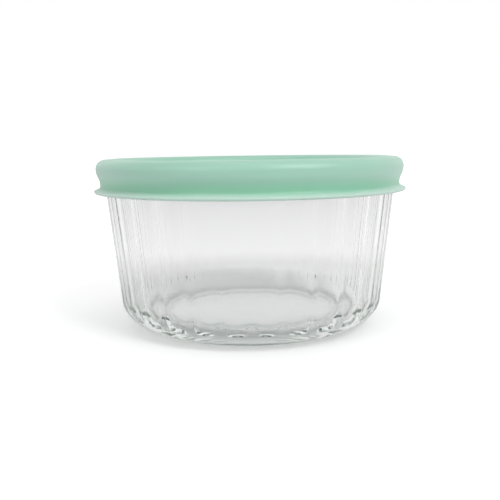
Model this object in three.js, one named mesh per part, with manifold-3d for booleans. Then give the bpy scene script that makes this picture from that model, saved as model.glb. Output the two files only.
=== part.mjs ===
// A round storage bowl of pressed clear glass with upright flutes, and the soft lid that snaps over its rim.
// Millimetres, +Z up. The origin is the middle of the face that the bowl stands on.

import * as THREE from "three";
import { mergeVertices } from "three/addons/utils/BufferGeometryUtils.js";
import Module from "manifold-3d";

// Glass bowl: foot and heel
const FOOT_RADIUS = 49.2; // outer edge of the flat ring that the bowl stands on
const FOOT_RING_WIDTH = 3.5;
const BASE_DOME = 0.2; // inside the ring the base is domed, so its middle is this far off the table
const HEEL_WIDTH = 17.6; // from the foot out to where the wall's line would meet the table
const HEEL_HEIGHT = 14; // the heel is a quarter ellipse, leaned outwards with the wall

// Glass bowl: wall, floor and rim
const DRAFT = THREE.MathUtils.degToRad(6.1); // outward lean of the wall
const BOWL_HEIGHT = 84.2;
const WALL = 4; // thickness at a rib
const FLOOR_HEIGHT = 6; // inside floor above the table
const FLOOR_FILLET = 14;
const RIM_PROUD = 0.9; // the rim is a roll of glass that stands out this far from the wall
const RIM_FLAT = 0.5; // width of the flat on top of the roll
const RIM_UNDERCUT = 2.2; // height of the slope under the roll

// Glass bowl: flutes
const FLUTES = 30;
const RIB_WIDTH = 3.4; // between the panels of two flutes
const RIB_TOP = 2.4; // width of the rib's own face
const RIB_HEIGHT = 0.3; // from a panel's edge to the rib's face
const HEEL_HOLLOW = 1.4; // at the heel a panel is a trough, this deep below its edges
const TROUGH_SHAPE = 6; // a higher power makes the trough's bottom flatter and its sides steeper
const HOLLOW_LOW = 8; // the trough runs up to this height,
const HOLLOW_HIGH = 16; // and the panel is flat from this height up
const FLUTE_DROP = 13.7; // the flutes start to fade this far below the rim, behind the lid's lip
const FLUTE_FADE = 4;

// Lid
const SEAT_GAP = 0.3; // between the lid and the glass where it seats
const SKIN = 1.6; // thickness of the lid's wall
const RIM_ROOM = 0.7; // air between the side of the glass roll and the lid's fat rim
const RECESS_DEPTH = 5.5; // the lid's panel lies this far below its rim
const PANEL = 1.6; // thickness of the panel
const PANEL_FILLET = 2;
const PLUG_ROUND = 1.2; // lower outside corner of the plug that goes into the bowl
const NECK_DROP = 11.2; // the lid's neck lies this far below the top of the glass
const SNAP_BITE = 1.3; // how far the neck reaches in under the glass roll
const LIP_REACH = 3.24; // how far the pull lip stands out from the neck
const LIP_DROP = 3.7; // underside of the lip below the neck
const LIP_EDGE = 1; // rounding of the lip's edge
const LEAD_IN = 1.8; // flare under the neck that guides the glass in

// Facets
const PANEL_POINTS = 5; // across one flute, from edge to edge
const POINTS_PER_FLUTE = PANEL_POINTS + 2; // with the edge of the rib on either side
const CAVITY_SIDES = 90;
const LID_SIDES = 72;
const HEEL_STEPS = 8;
const ARC_STEPS = 4;
const RUN_OUT = 20; // cutters reach this far past what they cut

const wasm = await Module();
wasm.setup();

// Radius of the wall's outside, at a rib, at a height above the table
function wallRadius(height) {
  return FOOT_RADIUS + HEEL_WIDTH + height * Math.tan(DRAFT);
}

// The rim's section is a half round on either side of its flat
function rimRound() {
  return (WALL + RIM_PROUD - RIM_FLAT) / 2;
}

// Height where the flutes start to fade
function fluteTop() {
  return BOWL_HEIGHT - FLUTE_DROP;
}

function rollHeight() {
  return BOWL_HEIGHT - rimRound();
}

function rollRadius() {
  return wallRadius(rollHeight()) + RIM_PROUD;
}

// Points along an elliptical arc in the profile plane, from one angle to another
function arcPoints(centre, radiusX, radiusY, from, to, steps) {
  const curve = new THREE.EllipseCurve(centre.x, centre.y, radiusX, radiusY, from, to, to < from);
  return curve.getPoints(steps);
}

function point(radius, height) {
  return new THREE.Vector2(radius, height);
}

// Turns a profile about the Z axis
function turned(profile, sides) {
  return new THREE.LatheGeometry(profile, sides).rotateX(Math.PI / 2);
}

// A closed geometry as a solid that can be cut
function solidOf(geometry) {
  const bare = geometry.clone();
  bare.deleteAttribute("normal");
  bare.deleteAttribute("uv");
  const merged = mergeVertices(bare, 1e-4);
  return new wasm.Manifold(
    new wasm.Mesh({
      numProp: 3,
      vertProperties: merged.attributes.position.array,
      triVerts: new Uint32Array(merged.index.array),
    }),
  );
}

function geometryOf(solid) {
  const mesh = solid.getMesh();
  const geometry = new THREE.BufferGeometry();
  geometry.setAttribute("position", new THREE.BufferAttribute(mesh.vertProperties, 3));
  geometry.setIndex(new THREE.BufferAttribute(mesh.triVerts, 1));
  geometry.computeVertexNormals();
  return geometry;
}

// Outside of the glass as a solid of revolution, from the middle of the base to the top of the rim
function glassOutsideProfile() {
  const ringInner = FOOT_RADIUS - FOOT_RING_WIDTH;
  const heelCentre = point(FOOT_RADIUS, HEEL_HEIGHT);
  const rollCentre = point(rollRadius() - rimRound(), rollHeight());
  const underRoll = rollHeight() - RIM_UNDERCUT;
  const roundHeel = arcPoints(heelCentre, HEEL_WIDTH, HEEL_HEIGHT, -Math.PI / 2, 0, HEEL_STEPS);
  const heel = roundHeel.map((place) => point(place.x + place.y * Math.tan(DRAFT), place.y));
  return [
    ...[0, 0.5, 1].map((share) => point(share * ringInner, BASE_DOME * (1 - share * share))),
    ...heel,
    point(wallRadius(HOLLOW_HIGH), HOLLOW_HIGH),
    point(wallRadius(fluteTop()), fluteTop()),
    point(wallRadius(fluteTop() + FLUTE_FADE), fluteTop() + FLUTE_FADE),
    point(wallRadius(underRoll), underRoll),
    ...arcPoints(rollCentre, rimRound(), rimRound(), -Math.PI / 6, Math.PI / 2, ARC_STEPS),
    point(0, BOWL_HEIGHT),
  ];
}

// Inside of the glass, as the plunger that presses it: floor, fillet, wall and the inner round of the rim
function glassCavityProfile() {
  const inside = (height) => wallRadius(height) - WALL;
  const filletHeight = FLOOR_HEIGHT + FLOOR_FILLET * (1 - Math.sin(DRAFT));
  const filletCentre = point(
    inside(filletHeight) - FLOOR_FILLET * Math.cos(DRAFT),
    FLOOR_HEIGHT + FLOOR_FILLET,
  );
  const mouthCentre = point(inside(rollHeight()) + rimRound(), rollHeight());
  const mouth = arcPoints(mouthCentre, rimRound(), rimRound(), Math.PI, Math.PI / 2, ARC_STEPS - 1);
  const above = BOWL_HEIGHT + RUN_OUT;
  return [
    point(0, FLOOR_HEIGHT),
    ...arcPoints(filletCentre, FLOOR_FILLET, FLOOR_FILLET, -Math.PI / 2, -DRAFT, HEEL_STEPS - 2),
    ...mouth,
    point(mouth.at(-1).x, above),
    point(0, above),
  ];
}

// How far a panel lies below the ribs, at a share of its half width: 0 in its middle, 1 at its edge
function panelDepth(share, halfWidth, height) {
  const flat = (halfWidth ** 2 / (2 * wallRadius(height))) * (1 - share ** 2);
  const trough = HEEL_HOLLOW * (1 - Math.abs(share) ** TROUGH_SHAPE);
  const up = THREE.MathUtils.smoothstep(height, HOLLOW_LOW, HOLLOW_HIGH);
  const faded = THREE.MathUtils.clamp((fluteTop() + FLUTE_FADE - height) / FLUTE_FADE, 0, 1);
  return faded * (RIB_HEIGHT + THREE.MathUtils.lerp(trough, flat, up));
}

// Presses the flutes into the turned outside. A flute runs parallel to the wall, so it runs out in a U where
// the heel curves in behind it. Each ring's points move to the edges of the ribs and across every panel.
function pressFlutes(geometry, rings) {
  const position = geometry.attributes.position;
  const pitch = (2 * Math.PI) / FLUTES;
  const sides = FLUTES * POINTS_PER_FLUTE;
  for (let side = 0; side <= sides; side++) {
    const flute = Math.floor(side / POINTS_PER_FLUTE);
    const step = side % POINTS_PER_FLUTE;
    const onPanel = step > 0 && step <= PANEL_POINTS;
    // The points lie closer together towards the panel's edges, where a trough is steep
    const share = Math.sin(Math.PI * ((step - 1) / (PANEL_POINTS - 1) - 0.5));
    for (let ring = 0; ring < rings; ring++) {
      const index = side * rings + ring;
      const radius = Math.hypot(position.getX(index), position.getY(index));
      const height = position.getZ(index);
      const line = wallRadius(height);
      const halfPitch = (pitch * line) / 2;
      const halfWidth = halfPitch - RIB_WIDTH / 2;
      const ribEdge = (step === 0 ? -1 : 1) * (halfPitch - RIB_TOP / 2);
      const across = onPanel ? share * halfWidth : ribEdge;
      // The first flute starts half a pitch from the front, so that a rib faces -Y
      const angle = -Math.PI / 2 + (flute + 0.5) * pitch + across / line;
      const depth = onPanel ? panelDepth(share, halfWidth, height) : 0;
      const pressed = depth > 0 ? Math.min(radius, line - depth) : radius;
      position.setXY(index, pressed * Math.cos(angle), pressed * Math.sin(angle));
    }
  }
}

function glassBowl() {
  const profile = glassOutsideProfile();
  const blank = turned(profile, FLUTES * POINTS_PER_FLUTE);
  pressFlutes(blank, profile.length);
  const cavity = turned(glassCavityProfile(), CAVITY_SIDES);
  const clearGlass = new THREE.MeshStandardMaterial({
    color: 0xe6efea,
    roughness: 0.03,
    metalness: 0,
    transparent: true,
    opacity: 0.35,
  });
  const mesh = new THREE.Mesh(geometryOf(solidOf(blank).subtract(solidOf(cavity))), clearGlass);
  mesh.name = "glass_bowl";
  return mesh;
}

// Section of the lid: panel, plug, the fat rim arched over the glass, neck and pull lip
function lidProfile() {
  const ceiling = BOWL_HEIGHT + SEAT_GAP;
  const crest = ceiling + SKIN;
  const panelTop = crest - RECESS_DEPTH;
  const panelUnder = panelTop - PANEL;
  const plugRadius = wallRadius(panelUnder) - WALL - SEAT_GAP;
  const skirtInner = rollRadius() + RIM_ROOM;
  const skirtOuter = skirtInner + SKIN;

  // The arch over the rim is a half round between the plug and the skirt
  const archInner = (skirtInner - plugRadius) / 2;
  const archOuter = archInner + SKIN;
  const archHeight = ceiling - archInner;
  const arch = point(plugRadius + archInner, archHeight);

  const neckInner = rollRadius() - SNAP_BITE;
  const neckHeight = BOWL_HEIGHT - NECK_DROP;
  const lipUnder = neckHeight - LIP_DROP;
  const skirtBend = (archHeight - neckHeight) / 2;

  const insideSkirt = new THREE.CubicBezierCurve(
    point(skirtInner, archHeight),
    point(skirtInner, archHeight - skirtBend),
    point(neckInner, neckHeight + skirtBend),
    point(neckInner, neckHeight),
  );
  const neckOuter = neckInner + SKIN;
  const lipRadius = neckOuter + LIP_REACH;
  const lipTop = new THREE.CubicBezierCurve(
    point(lipRadius, lipUnder + LIP_EDGE),
    point(lipRadius, neckHeight - LIP_DROP / 2),
    point(neckOuter, neckHeight - LIP_DROP / 2),
    point(neckOuter, neckHeight),
  );
  const outsideSkirt = new THREE.CubicBezierCurve(
    point(neckOuter, neckHeight),
    point(neckOuter, neckHeight + skirtBend),
    point(skirtOuter, archHeight - skirtBend),
    point(skirtOuter, archHeight),
  );
  const plugCorner = point(plugRadius - PLUG_ROUND, panelUnder + PLUG_ROUND);
  const recessRadius = plugRadius - SKIN;
  const recessCorner = point(recessRadius - PANEL_FILLET, panelTop + PANEL_FILLET);
  const lipEdge = point(lipRadius - LIP_EDGE, lipUnder + LIP_EDGE);

  return [
    point(0, panelUnder),
    ...arcPoints(plugCorner, PLUG_ROUND, PLUG_ROUND, -Math.PI / 2, 0, ARC_STEPS - 1),
    ...arcPoints(arch, archInner, archInner, Math.PI, 0, 2 * ARC_STEPS).slice(0, -1),
    ...insideSkirt.getPoints(ARC_STEPS),
    point(neckInner + LEAD_IN, lipUnder),
    ...arcPoints(lipEdge, LIP_EDGE, LIP_EDGE, -Math.PI / 2, 0, ARC_STEPS - 2),
    ...lipTop.getPoints(ARC_STEPS + 1).slice(1, -1),
    ...outsideSkirt.getPoints(ARC_STEPS + 1).slice(0, -1),
    ...arcPoints(arch, archOuter, archOuter, 0, Math.PI, 2 * ARC_STEPS),
    ...arcPoints(recessCorner, PANEL_FILLET, PANEL_FILLET, 0, -Math.PI / 2, ARC_STEPS - 1),
    point(0, panelTop),
  ];
}

function snapLid() {
  const mintPlastic = new THREE.MeshStandardMaterial({ color: 0x98cdb4, roughness: 0.4, metalness: 0 });
  const mesh = new THREE.Mesh(turned(lidProfile(), LID_SIDES), mintPlastic);
  mesh.name = "snap_lid";
  return mesh;
}

const storageBowl = new THREE.Group();
storageBowl.add(glassBowl(), snapLid());

export default storageBowl;
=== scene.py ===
# %% [markdown]
# # A fluted glass bowl with a press-on lid
# The object has two pieces: a bowl pressed from clear glass, with thirty upright flutes, and a soft plastic
# lid that snaps over its rolled rim. Both are round, so both are drawn as a section and spun about the
# bowl's axis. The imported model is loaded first. It gives the real sizes, and each piece stands where its
# solid does.

# %% Load the frame
import math

import bmesh
import bpy
from mathutils import Matrix, Vector
from mathutils.geometry import interpolate_bezier


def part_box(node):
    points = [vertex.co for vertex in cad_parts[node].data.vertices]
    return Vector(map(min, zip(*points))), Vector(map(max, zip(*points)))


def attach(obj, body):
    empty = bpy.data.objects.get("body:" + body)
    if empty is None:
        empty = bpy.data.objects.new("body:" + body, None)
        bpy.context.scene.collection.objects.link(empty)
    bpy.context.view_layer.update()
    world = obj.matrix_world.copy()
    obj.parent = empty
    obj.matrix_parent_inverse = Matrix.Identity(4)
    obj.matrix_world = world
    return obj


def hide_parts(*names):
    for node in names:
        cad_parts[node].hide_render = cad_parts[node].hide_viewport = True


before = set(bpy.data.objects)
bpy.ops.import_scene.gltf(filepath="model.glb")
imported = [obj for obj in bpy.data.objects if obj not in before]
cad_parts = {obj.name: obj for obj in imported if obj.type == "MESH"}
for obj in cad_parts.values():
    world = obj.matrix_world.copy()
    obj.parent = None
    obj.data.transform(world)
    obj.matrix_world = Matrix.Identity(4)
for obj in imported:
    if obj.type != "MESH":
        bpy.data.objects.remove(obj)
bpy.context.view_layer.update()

MM = 0.001
GLASS_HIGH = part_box("glass_bowl")[1]
LID_LOW, LID_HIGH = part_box("snap_lid")
BOWL_HEIGHT = GLASS_HIGH[2] / MM
ROLL_RADIUS = GLASS_HIGH[0] / MM
LID_CREST = LID_HIGH[2] / MM
LIP_RADIUS = LID_HIGH[0] / MM
LIP_UNDER = LID_LOW[2] / MM
print(f"glass {BOWL_HEIGHT:.1f} mm high, its roll {ROLL_RADIUS:.2f} mm from the axis")
print(f"lid crest {LID_CREST:.1f} mm high, lip {LIP_RADIUS:.2f} mm from the axis")

# %% [markdown]
# ## The camera
# The picture was taken from a little above the lid, close enough for the near side of the rim to curve
# downwards. The distance, height, tilt and focal length were fitted to the outline of the bowl. The photo
# leans by less than a degree, so the camera is rolled by the same amount instead of the bowl being tilted.
# Lengths are in millimetres and angles in radians.

# %% Camera
CAMERA_DISTANCE = 360.0
CAMERA_HEIGHT = 91.54
CAMERA_ASIDE = -0.34
CAMERA_PITCH = 0.150
CAMERA_ROLL = -0.0135
FOCAL_LENGTH = 49.22

camera_data = bpy.data.cameras.new("photo_camera")
camera_data.lens = FOCAL_LENGTH
camera_data.sensor_width = 36.0
camera_data.clip_start = 0.01
camera = bpy.data.objects.new("photo_camera", camera_data)
bpy.context.scene.collection.objects.link(camera)
camera.matrix_world = (
    Matrix.Translation(Vector((CAMERA_ASIDE, -CAMERA_DISTANCE, CAMERA_HEIGHT)) * MM)
    @ Matrix.Rotation(math.pi / 2 - CAMERA_PITCH, 4, "X")
    @ Matrix.Rotation(CAMERA_ROLL, 4, "Z")
)
bpy.context.scene.camera = camera
print("camera at", [round(value, 4) for value in camera.matrix_world.translation])

# %% [markdown]
# ## Drawing a section
# A turned piece is a short list of points: radius and height, in millimetres. Straight stretches come from
# a line, and round stretches from an arc or a bezier curve. The spin operator sweeps the chain of edges round
# the axis. On a full turn its last step is merged with its first, and points on the axis become one.


# %% Section helpers
def arc(centre, radius, start, end, steps):
    """Points on an ellipse about centre. radius is (across, up), and the angles are in degrees."""
    angles = [math.radians(start + (end - start) * step / steps) for step in range(steps + 1)]
    return [(centre[0] + radius[0] * math.cos(a), centre[1] + radius[1] * math.sin(a)) for a in angles]


def bend(start, start_handle, end_handle, end, steps):
    """Points on a bezier curve, with both ends."""
    ends = [Vector((*point, 0)) for point in (start, start_handle, end_handle, end)]
    return [tuple(point[:2]) for point in interpolate_bezier(*ends, steps + 1)]


def line(start, end, steps):
    """Evenly spaced points from start to end."""
    return [tuple(Vector(start).lerp(Vector(end), step / steps)) for step in range(steps + 1)]


def spin_section(shell, section, steps, angle=math.tau, start=0.0):
    """Adds a section, spun round the Z axis from the angle start, to the bmesh shell."""
    chain = [
        shell.verts.new((radius * MM * math.cos(start), radius * MM * math.sin(start), height * MM))
        for radius, height in section
    ]
    edges = [shell.edges.new(pair) for pair in zip(chain, chain[1:])]
    bmesh.ops.spin(
        shell,
        geom=chain + edges,
        cent=(0, 0, 0),
        axis=(0, 0, 1),
        angle=angle,
        steps=steps,
        use_merge=angle == math.tau,
    )


def finish_piece(shell, name, body, node):
    """Closes the shell, and makes it a smooth piece that rides on a body and stands for a CAD node."""
    bmesh.ops.remove_doubles(shell, verts=shell.verts, dist=0.002 * MM)
    bmesh.ops.recalc_face_normals(shell, faces=shell.faces)
    for face in shell.faces:
        face.smooth = True
    open_edges = sum(not edge.is_manifold for edge in shell.edges)
    mesh = bpy.data.meshes.new(name)
    shell.to_mesh(mesh)
    shell.free()
    piece = bpy.data.objects.new(name, mesh)
    bpy.context.scene.collection.objects.link(piece)
    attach(piece, body)
    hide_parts(node)
    print(name, len(mesh.polygons), "faces,", open_edges, "open edges")
    return piece


# %% [markdown]
# ## The pressed glass
# The bowl is made in a mould with a plunger. The mould gives the outside its foot, heel and thirty flutes,
# and the plunger gives the plain inside. A flute is a nearly flat panel between two soft ribs. On the heel
# it sinks into a shallow trough, which ends in a U. Thirty boolean cutters would leave sharp edges, and hot
# glass has none. So one flute is spun from rib to rib and its points are pushed inwards, with each edge
# rounded by a smooth minimum. With its share of the inside, it is then repeated round the axis.

# %% Glass sizes
FOOT_RADIUS = 49.2
FOOT_RING_WIDTH = 3.5
BASE_DOME = 0.2
DOME_STEPS = 24
HEEL_WIDTH = 17.6
HEEL_HEIGHT = 14.0
DRAFT = math.radians(6.1)
WALL = 4.0
FLOOR_HEIGHT = 6.0
FLOOR_FILLET = 14.0
RIM_PROUD = 0.9
RIM_FLAT = 0.5
RIM_UNDERCUT = 2.2
RIM_ROUND = (WALL + RIM_PROUD - RIM_FLAT) / 2
ROLL_HEIGHT = BOWL_HEIGHT - RIM_ROUND

FLUTES = 30
PITCH = math.tau / FLUTES
RIB_WIDTH = 3.4
RIB_HEIGHT = 0.3
RIB_SLOPE = 0.65
HEEL_HOLLOW = 1.4
TROUGH_SHAPE = 6
HOLLOW_LOW = 8.0
HOLLOW_HIGH = 16.0
FLUTE_FADE = 4.0
FLUTE_TOP = BOWL_HEIGHT - 13.7
EDGE_SOFTNESS = 0.35
RIB_SOFTNESS = 0.8
STEPS_PER_FLUTE = 20
STEPS_PER_RIB = 12
RIB_SPREAD = 1.3


def wall_radius(height):
    """Radius of the outside of the wall at a rib."""
    return FOOT_RADIUS + HEEL_WIDTH + height * math.tan(DRAFT)


print(f"the wall leans {math.degrees(DRAFT):.2f} degrees")
print(f"it is {2 * wall_radius(FLUTE_TOP):.1f} mm across at the lid's lip")


# %% Glass sections
def outside_section():
    """From the middle of the base, over the foot, heel and wall, to the top of the rim."""
    ring_inner = FOOT_RADIUS - FOOT_RING_WIDTH
    shares = [step / DOME_STEPS for step in range(DOME_STEPS + 1)]
    dome = [(ring_inner * share, BASE_DOME * (1 - share**2)) for share in shares]
    round_heel = arc((FOOT_RADIUS, HEEL_HEIGHT), (HEEL_WIDTH, HEEL_HEIGHT), -90, 0, 44)
    heel = [(radius + height * math.tan(DRAFT), height) for radius, height in round_heel]
    flute_top = (wall_radius(FLUTE_TOP), FLUTE_TOP)
    fade_top = (wall_radius(FLUTE_TOP + FLUTE_FADE), FLUTE_TOP + FLUTE_FADE)
    under_roll = (wall_radius(ROLL_HEIGHT - RIM_UNDERCUT), ROLL_HEIGHT - RIM_UNDERCUT)
    roll = arc((ROLL_RADIUS - RIM_ROUND, ROLL_HEIGHT), (RIM_ROUND, RIM_ROUND), -30, 90, 12)
    return [
        *dome,
        *line(dome[-1], heel[0], 4)[1:-1],
        *heel,
        *line(heel[-1], flute_top, 24)[1:],
        *line(flute_top, fade_top, 6)[1:],
        *line(fade_top, under_roll, 2)[1:],
        *roll,
    ]


def inside_section():
    """From the top of the rim, down the inside wall and round the fillet, to the middle of the floor."""
    mouth = arc(
        (wall_radius(ROLL_HEIGHT) - WALL + RIM_ROUND, ROLL_HEIGHT), (RIM_ROUND, RIM_ROUND), 90, 180, 8
    )
    wall_low = FLOOR_HEIGHT + FLOOR_FILLET * (1 - math.sin(DRAFT))
    fillet_centre = (
        wall_radius(wall_low) - WALL - FLOOR_FILLET * math.cos(DRAFT),
        FLOOR_HEIGHT + FLOOR_FILLET,
    )
    fillet = arc(fillet_centre, (FLOOR_FILLET, FLOOR_FILLET), -math.degrees(DRAFT), -90, 20)
    return [
        *mouth,
        *line(mouth[-1], fillet[0], 10)[1:-1],
        *fillet,
        *line(fillet[-1], (0, FLOOR_HEIGHT), 8)[1:],
    ]


print("outside", len(outside_section()), "points, inside", len(inside_section()), "points")


# %% Press the flutes
def smooth_min(a, b, softness):
    """The smaller of two values, rounded over where they cross."""
    blend = max(softness - abs(a - b), 0) / softness
    return min(a, b) - blend * blend * softness / 4


def gather_at_ribs(turn):
    """Moves a place across one flute, from -1 to 1, so that the ribs at its ends get more of the steps."""
    rib_share = STEPS_PER_RIB / STEPS_PER_FLUTE
    rib_width = RIB_SPREAD * RIB_WIDTH / (PITCH * wall_radius(FLUTE_TOP / 2))
    if abs(turn) <= 1 - rib_share:
        return turn * (1 - rib_width) / (1 - rib_share)
    return math.copysign(1 - (1 - abs(turn)) * rib_width / rib_share, turn)


def panel_radius(across, half_width, height):
    """Radius of a flute's surface: flat on the wall, a trough at the heel, and turned up at the ribs."""
    wall = wall_radius(height)
    up = min(max((height - HOLLOW_LOW) / (HOLLOW_HIGH - HOLLOW_LOW), 0), 1)
    ease = up * up * (3 - 2 * up)
    share = across / half_width
    flat = half_width**2 / (2 * wall) * (1 - share**2)
    trough = HEEL_HOLLOW * (1 - abs(share) ** TROUGH_SHAPE)
    past = abs(across) - half_width
    turn_up = RIB_SLOPE * (past + math.hypot(past, RIB_SOFTNESS)) / 2
    return wall - RIB_HEIGHT - trough - (flat - trough) * ease + turn_up


def press_flute(shell):
    """Pushes the points of one turned flute inwards. It follows the wall, so it ends in a U on the heel."""
    for vert in shell.verts:
        height = vert.co.z / MM
        fade = min(max((FLUTE_TOP + FLUTE_FADE - height) / FLUTE_FADE, 0), 1)
        radius = vert.co.xy.length / MM
        if fade == 0 or radius < FOOT_RADIUS:
            continue
        turn = 2 * (math.atan2(vert.co.y, vert.co.x) + math.pi / 2) / PITCH - 1
        place = turn + (gather_at_ribs(turn) - turn) * fade
        half_pitch = PITCH * wall_radius(height) / 2
        panel = panel_radius(place * half_pitch, half_pitch - RIB_WIDTH / 2, height)
        pressed = radius + (smooth_min(radius, panel, EDGE_SOFTNESS) - radius) * fade
        angle = (place + 1) / 2 * PITCH - math.pi / 2
        vert.co.x = pressed * MM * math.cos(angle)
        vert.co.y = pressed * MM * math.sin(angle)


def glass_bowl():
    """The whole bowl as one closed shell: one flute, made from rib to rib and repeated round the axis."""
    shell = bmesh.new()
    spin_section(shell, outside_section(), STEPS_PER_FLUTE, PITCH, -math.pi / 2)
    press_flute(shell)
    spin_section(shell, inside_section(), STEPS_PER_FLUTE, PITCH, -math.pi / 2)
    bmesh.ops.spin(
        shell,
        geom=shell.verts[:] + shell.edges[:] + shell.faces[:],
        cent=(0, 0, 0),
        axis=(0, 0, 1),
        angle=math.tau - PITCH,
        steps=FLUTES - 1,
        use_duplicate=True,
    )
    return finish_piece(shell, "fluted_glass", "bowl", "glass_bowl")


fluted_glass = glass_bowl()

# %% [markdown]
# ## The lid
# The lid is one moulding of soft plastic. Its rim arches over the glass, its skirt draws in to a neck that
# nips under the roll of glass, and its edge turns out into a lip to pull on. Inside the rim a plug goes a
# little way into the bowl, and its panel lies below the rim, so that another bowl can stand on it. All of
# this is one line of arcs and bends from axis to axis, so one spin makes the whole lid.

# %% Lid section
SEAT_GAP = 0.3
SKIN = LID_CREST - BOWL_HEIGHT - SEAT_GAP
RIM_ROOM = 0.7
RECESS_DEPTH = 5.5
PANEL = 1.6
PANEL_FILLET = 2.0
PLUG_ROUND = 1.2
LIP_DROP = 3.7
LIP_REACH = 3.24
LIP_EDGE = 1.0
LEAD_IN = 1.8
LID_STEPS = 240


def lid_section():
    """From the middle of the panel's underside, round the whole rim, to the middle of its top."""
    panel_top = LID_CREST - RECESS_DEPTH
    panel_under = panel_top - PANEL
    plug = wall_radius(panel_under) - WALL - SEAT_GAP
    skirt = ROLL_RADIUS + RIM_ROOM
    inner = (skirt - plug) / 2
    outer = inner + SKIN
    arch = (plug + inner, LID_CREST - outer)
    neck_height = LIP_UNDER + LIP_DROP
    neck = LIP_RADIUS - LIP_REACH
    neck_inside = neck - SKIN
    bead = skirt + SKIN
    sweep = (arch[1] - neck_height) / 2
    waist_low = neck_height + sweep
    waist_high = arch[1] - sweep
    lip_top = neck_height - LIP_DROP / 2
    lip_low = LIP_UNDER + LIP_EDGE
    flare = (neck_inside + LEAD_IN, LIP_UNDER)
    recess = plug - SKIN - PANEL_FILLET
    skirt_inside = bend(
        (skirt, arch[1]), (skirt, waist_high), (neck_inside, waist_low), (neck_inside, neck_height), 12
    )
    lip = bend((LIP_RADIUS, lip_low), (LIP_RADIUS, lip_top), (neck, lip_top), (neck, neck_height), 14)
    skirt_outside = bend((neck, neck_height), (neck, waist_low), (bead, waist_high), (bead, arch[1]), 16)
    return [
        *line((0, panel_under), (plug - PLUG_ROUND, panel_under), 8)[:-1],
        *arc((plug - PLUG_ROUND, panel_under + PLUG_ROUND), (PLUG_ROUND, PLUG_ROUND), -90, 0, 6),
        *arc(arch, (inner, inner), 180, 0, 24),
        *skirt_inside[1:],
        *line((neck_inside, neck_height), flare, 6)[1:],
        *line(flare, (LIP_RADIUS - LIP_EDGE, LIP_UNDER), 6)[1:-1],
        *arc((LIP_RADIUS - LIP_EDGE, lip_low), (LIP_EDGE, LIP_EDGE), -90, 0, 8),
        *lip[1:],
        *skirt_outside[1:],
        *arc(arch, (outer, outer), 0, 180, 32)[1:],
        *arc((recess, panel_top + PANEL_FILLET), (PANEL_FILLET, PANEL_FILLET), 0, -90, 8),
        *line((recess, panel_top), (0, panel_top), 10)[1:],
    ]


def snap_lid():
    """The whole lid as one closed shell."""
    shell = bmesh.new()
    spin_section(shell, lid_section(), LID_STEPS)
    return finish_piece(shell, "soft_lid", "lid", "snap_lid")


soft_lid = snap_lid()

# %% [markdown]
# ## Finishes
# Colours are written as sRGB hex values and turned to linear light by one function. One small function adds
# a node, sets it and links it.


# %% Material helpers
def linear(hex_colour):
    """An sRGB hex colour as linear RGBA."""
    parts = [int(hex_colour[place : place + 2], 16) / 255 for place in (1, 3, 5)]
    return (*(part / 12.92 if part <= 0.04045 else ((part + 0.055) / 1.055) ** 2.4 for part in parts), 1)


def add_node(tree, kind, inputs=None, **settings):
    """Adds a node, sets its properties, and sets or links its inputs."""
    made = tree.nodes.new(kind)
    for name, value in settings.items():
        setattr(made, name, value)
    for name, value in (inputs or {}).items():
        if isinstance(value, bpy.types.NodeSocket):
            tree.links.new(value, made.inputs[name])
        else:
            made.inputs[name].default_value = value
    return made


def empty_material(name):
    """A new material with only its output node."""
    material = bpy.data.materials.new(name)
    material.use_nodes = True
    material.node_tree.nodes.clear()
    return material, material.node_tree, material.node_tree.nodes.new("ShaderNodeOutputMaterial")


# %% [markdown]
# ### Pressed soda-lime glass
# Soda-lime glass bends light by 1.52 and is faintly green where it is thick, which shows at the heel. A
# pressed wall is never quite flat: the plunger leaves slow ripples, drawn out upwards, that make what is
# behind them waver. The sizes are in millimetres, and the ripples are ten times as tall as they are wide.

# %% Pressed glass
RIPPLE_SIZE = 7.0
RIPPLE_DRAW = 10.0
RIPPLE_HEIGHT = 0.006


def pressed_glass():
    material, tree, output = empty_material("pressed soda-lime glass")
    place = add_node(tree, "ShaderNodeTexCoord")
    drawn = add_node(
        tree, "ShaderNodeMapping", {"Vector": place.outputs["Object"], "Scale": (1, 1, 1 / RIPPLE_DRAW)}
    )
    ripple = add_node(
        tree,
        "ShaderNodeTexNoise",
        {"Vector": drawn.outputs["Vector"], "Scale": 1 / (RIPPLE_SIZE * MM), "Detail": 1.0},
    )
    waver = add_node(
        tree,
        "ShaderNodeBump",
        {"Height": ripple.outputs["Fac"], "Strength": 1.0, "Distance": RIPPLE_HEIGHT * MM},
    )
    glass = add_node(
        tree,
        "ShaderNodeBsdfPrincipled",
        {
            "Base Color": (1, 1, 1, 1),
            "Roughness": 0.0,
            "IOR": 1.52,
            "Transmission Weight": 1.0,
            "Normal": waver.outputs["Normal"],
        },
    )
    tint = add_node(tree, "ShaderNodeVolumeAbsorption", {"Color": linear("#D0E4D9"), "Density": 1.5})
    tree.links.new(glass.outputs["BSDF"], output.inputs["Surface"])
    tree.links.new(tint.outputs["Volume"], output.inputs["Volume"])
    return material


fluted_glass.data.materials.append(pressed_glass())
print("glass:", fluted_glass.data.materials[0].name)
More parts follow.
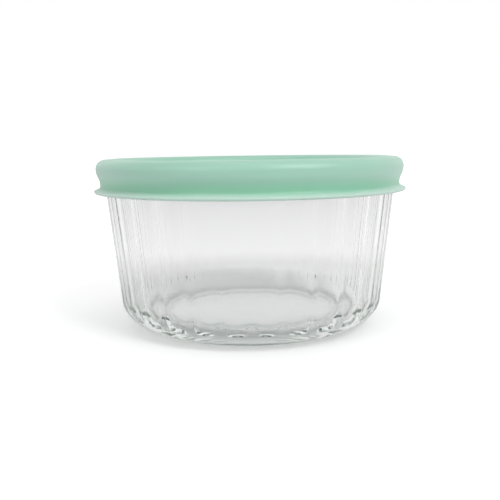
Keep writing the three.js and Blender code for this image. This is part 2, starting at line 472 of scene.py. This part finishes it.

# %% [markdown]
# ### Moulded low-density polyethylene
# The lid's plastic is soft and a little waxy: light goes a short way in before it comes out, and a fine
# satin grain from the mould spreads the highlights. Light and shade are painted into its colour by height in
# millimetres: the fat rim and the lip are painted pale as a painted sheen, the neck between them is painted
# deep as painted shade, and the top of the crest is painted a little darker as painted shade. A slow noise
# makes the fade of this painted light uneven, and the gloss too.

# %% Mint polyethylene
GRAIN_SIZE = 0.6
GRAIN_HEIGHT = 0.006
SHEEN_AND_GLOSS_NOISE_SIZE = 30.0
PAINTED_SHEEN_WANDER = 1.5
SATIN_LOW = 0.36
SATIN_HIGH = 0.48
# Painted light: the pale lip and fat rim are a painted sheen, the deep neck is painted shade, and the darker
# top of the crest is painted shade.
LIP_AND_NECK = [(70.9, "#C2E0D3"), (72.4, "#8ACCAC"), (74.4, "#8ACCAC")]
FAT_RIM = [(78.0, "#A4D5C1"), (82.5, "#A4D5C1"), (85.0, "#97CAB4")]
LID_PAINTED_SHEEN_AND_SHADE = LIP_AND_NECK + FAT_RIM


def mint_polyethylene():
    material, tree, output = empty_material("moulded low-density polyethylene, mint")
    place = add_node(tree, "ShaderNodeTexCoord")
    grain = add_node(
        tree,
        "ShaderNodeTexNoise",
        {"Vector": place.outputs["Object"], "Scale": 1 / (GRAIN_SIZE * MM), "Detail": 2.0},
    )
    # A slow noise that makes the edges of the painted sheen and shade wander, and varies the gloss.
    sheen_and_gloss_noise = add_node(
        tree,
        "ShaderNodeTexNoise",
        {"Vector": place.outputs["Object"], "Scale": 1 / (SHEEN_AND_GLOSS_NOISE_SIZE * MM), "Detail": 2.0},
    )
    axes = add_node(tree, "ShaderNodeSeparateXYZ", {"Vector": place.outputs["Object"]})
    wander = add_node(
        tree,
        "ShaderNodeMath",
        {0: sheen_and_gloss_noise.outputs["Fac"], 1: PAINTED_SHEEN_WANDER * MM, 2: axes.outputs["Z"]},
        operation="MULTIPLY_ADD",
    )
    up = add_node(
        tree,
        "ShaderNodeMapRange",
        {
            "Value": wander.outputs["Value"],
            "From Min": (LIP_UNDER + PAINTED_SHEEN_WANDER / 2) * MM,
            "From Max": (LID_CREST + PAINTED_SHEEN_WANDER / 2) * MM,
        },
    )
    # The colour ramp paints the sheen and shade by height.
    colour = add_node(tree, "ShaderNodeValToRGB", {"Fac": up.outputs["Result"]})
    shades = colour.color_ramp
    while len(shades.elements) < len(LID_PAINTED_SHEEN_AND_SHADE):
        shades.elements.new(1.0)
    for element, (height, shade) in zip(shades.elements, LID_PAINTED_SHEEN_AND_SHADE):
        element.position = (height - LIP_UNDER) / (LID_CREST - LIP_UNDER)
        element.color = linear(shade)
    gloss = add_node(
        tree, "ShaderNodeMapRange", {"Value": sheen_and_gloss_noise.outputs["Fac"], "To Min": SATIN_LOW, "To Max": SATIN_HIGH}
    )
    satin = add_node(
        tree,
        "ShaderNodeBump",
        {"Height": grain.outputs["Fac"], "Strength": 1.0, "Distance": GRAIN_HEIGHT * MM},
    )
    plastic = add_node(
        tree,
        "ShaderNodeBsdfPrincipled",
        {
            "Base Color": colour.outputs["Color"],
            "Roughness": gloss.outputs["Result"],
            "IOR": 1.51,
            "Specular IOR Level": 0.8,
            "Sheen Weight": 0.35,
            "Sheen Roughness": 0.6,
            "Subsurface Weight": 0.15,
            "Subsurface Radius": (1.0, 1.0, 1.0),
            "Subsurface Scale": 1.5 * MM,
            "Normal": satin.outputs["Normal"],
        },
    )
    tree.links.new(plastic.outputs["BSDF"], output.inputs["Surface"])
    return material


soft_lid.data.materials.append(mint_polyethylene())
print("lid:", soft_lid.data.materials[0].name)

# %% [markdown]
# ## Floor, light and background
# The bowl stands on white paper in front of white. Glass shows what is around it, so the surroundings are
# bright behind the bowl and darker on the camera's side: that is what draws the ribs and the heel. A thick
# glass base gathers light under its floor and leaves shade under its heel. Tracing that light would take far
# more samples than a plain picture does, so what the glass shows of the paper glows by its distance from the
# axis. Each stop of that glow is a distance in millimetres and a strength. Light runs a long way inside the
# glass before it comes out, so the bounces are raised. The paper lies a hair below the foot ring, because two
# faces in one plane would flicker.

# %% Floor
FLOOR_SIZE = 6.0
FLOOR_GAP = 0.05 * MM
LIFT_NEAR = 0.42
LIFT_FAR = 1.0
GLOW_REACH = 250
# Painted light in what the glass shows of the paper: a painted pool of light under the floor, painted shade
# along the foot ring's contact line and under the heel, and a painted shadow round the bowl, deepest at 175
# mm and gone by 240 mm.
UNDER_FLOOR = [(44, 0.45), (46, 0.32), (48, 0.32), (51, 0.4)]
UNDER_HEEL = [(59, 0.12), (64, 0.12)]
ROUND_BOWL = [(75, 0.22), (100, 0.14), (175, 0.1), (240, 0.25)]
GLOW_STOPS = UNDER_FLOOR + UNDER_HEEL + ROUND_BOWL


def pale_floor():
    sheet = bmesh.new()
    bmesh.ops.create_grid(sheet, x_segments=1, y_segments=1, size=FLOOR_SIZE)
    mesh = bpy.data.meshes.new("pale_floor")
    sheet.to_mesh(mesh)
    sheet.free()
    floor = bpy.data.objects.new("pale_floor", mesh)
    bpy.context.scene.collection.objects.link(floor)
    material, tree, output = empty_material("white paper floor")
    place = add_node(tree, "ShaderNodeTexCoord")
    away = add_node(tree, "ShaderNodeVectorMath", {0: place.outputs["Object"]}, operation="LENGTH")
    lift = add_node(
        tree,
        "ShaderNodeMapRange",
        {
            "Value": away.outputs["Value"],
            "From Min": 0.2,
            "From Max": 1.2,
            "To Min": LIFT_NEAR,
            "To Max": LIFT_FAR,
        },
    )
    reach = add_node(
        tree, "ShaderNodeMapRange", {"Value": away.outputs["Value"], "From Max": GLOW_REACH * MM}
    )
    through = add_node(tree, "ShaderNodeValToRGB", {"Fac": reach.outputs["Result"]})
    ramp = through.color_ramp
    while len(ramp.elements) < len(GLOW_STOPS):
        ramp.elements.new(1.0)
    for element, (radius, glow) in zip(ramp.elements, GLOW_STOPS):
        element.position = radius / GLOW_REACH
        element.color = (glow, glow, glow, 1)
    path = add_node(tree, "ShaderNodeLightPath")
    by_camera = path.outputs["Is Camera Ray"]
    level = add_node(
        tree,
        "ShaderNodeMix",
        {"Factor": by_camera, "A": through.outputs["Color"], "B": lift.outputs["Result"]},
    )
    paper = add_node(tree, "ShaderNodeBsdfDiffuse", {"Color": linear("#E1E1E1")})
    glow = add_node(
        tree, "ShaderNodeEmission", {"Color": (1, 1, 1, 1), "Strength": level.outputs["Result"]}
    )
    both = tree.nodes.new("ShaderNodeAddShader")
    tree.links.new(paper.outputs["BSDF"], both.inputs[0])
    tree.links.new(glow.outputs["Emission"], both.inputs[1])
    in_glass = add_node(
        tree,
        "ShaderNodeMath",
        {0: path.outputs["Is Glossy Ray"], 1: path.outputs["Is Transmission Ray"]},
        operation="MAXIMUM",
    )
    shown = add_node(
        tree, "ShaderNodeMath", {0: by_camera, 1: in_glass.outputs["Value"]}, operation="MAXIMUM"
    )
    mix = add_node(tree, "ShaderNodeMixShader", {"Fac": shown.outputs["Value"]})
    tree.links.new(paper.outputs["BSDF"], mix.inputs[1])
    tree.links.new(both.outputs["Shader"], mix.inputs[2])
    tree.links.new(mix.outputs["Shader"], output.inputs["Surface"])
    floor.data.materials.append(material)
    floor.location.z = -FLOOR_GAP
    return floor


print("stage:", pale_floor().name)


# %% World
FRONT_LEVEL = 0.3
BACK_LEVEL = 0.92


def studio_world():
    world = bpy.data.worlds.new("white studio")
    world.use_nodes = True
    tree = world.node_tree
    tree.nodes.clear()
    output = tree.nodes.new("ShaderNodeOutputWorld")
    place = add_node(tree, "ShaderNodeTexCoord")
    ways = add_node(tree, "ShaderNodeSeparateXYZ", {"Vector": place.outputs["Generated"]})
    back = add_node(
        tree,
        "ShaderNodeMapRange",
        {
            "Value": ways.outputs["Y"],
            "From Min": -0.2,
            "From Max": 0.75,
            "To Min": FRONT_LEVEL,
            "To Max": BACK_LEVEL,
        },
    )
    around = add_node(
        tree, "ShaderNodeBackground", {"Color": (1, 1, 1, 1), "Strength": back.outputs["Result"]}
    )
    white = add_node(tree, "ShaderNodeBackground", {"Color": (1, 1, 1, 1), "Strength": 1.0})
    path = add_node(tree, "ShaderNodeLightPath")
    mix = add_node(tree, "ShaderNodeMixShader", {"Fac": path.outputs["Is Camera Ray"]})
    tree.links.new(around.outputs["Background"], mix.inputs[1])
    tree.links.new(white.outputs["Background"], mix.inputs[2])
    tree.links.new(mix.outputs["Shader"], output.inputs["Surface"])
    bpy.context.scene.world = world
    return world


print("world:", studio_world().name)


# %% Lamps
def softbox(name, place, aim, size, power):
    """A square lamp at place, in metres, turned towards aim."""
    lamp = bpy.data.lights.new(name, "AREA")
    lamp.shape = "SQUARE"
    lamp.size = size
    lamp.energy = power
    holder = bpy.data.objects.new(name, lamp)
    bpy.context.scene.collection.objects.link(holder)
    holder.location = place
    holder.rotation_euler = (Vector(aim) - Vector(place)).to_track_quat("-Z", "Y").to_euler()
    return holder


BOWL_MIDDLE = (0, 0, 0.05)
softbox("key_right", (0.6, -0.7, 0.9), BOWL_MIDDLE, 0.5, 6)
softbox("fill_left", (-0.7, -0.8, 0.7), BOWL_MIDDLE, 0.6, 2.5)
softbox("top", (0, -0.2, 1.1), BOWL_MIDDLE, 0.8, 2.5)

bpy.context.scene.view_settings.view_transform = "Standard"
GLASS_BOUNCES = 64
bpy.context.scene.cycles.max_bounces = GLASS_BOUNCES
bpy.context.scene.cycles.glossy_bounces = GLASS_BOUNCES
bpy.context.scene.cycles.transmission_bounces = GLASS_BOUNCES
print(len(bpy.data.lights), "lamps and up to", GLASS_BOUNCES, "bounces")
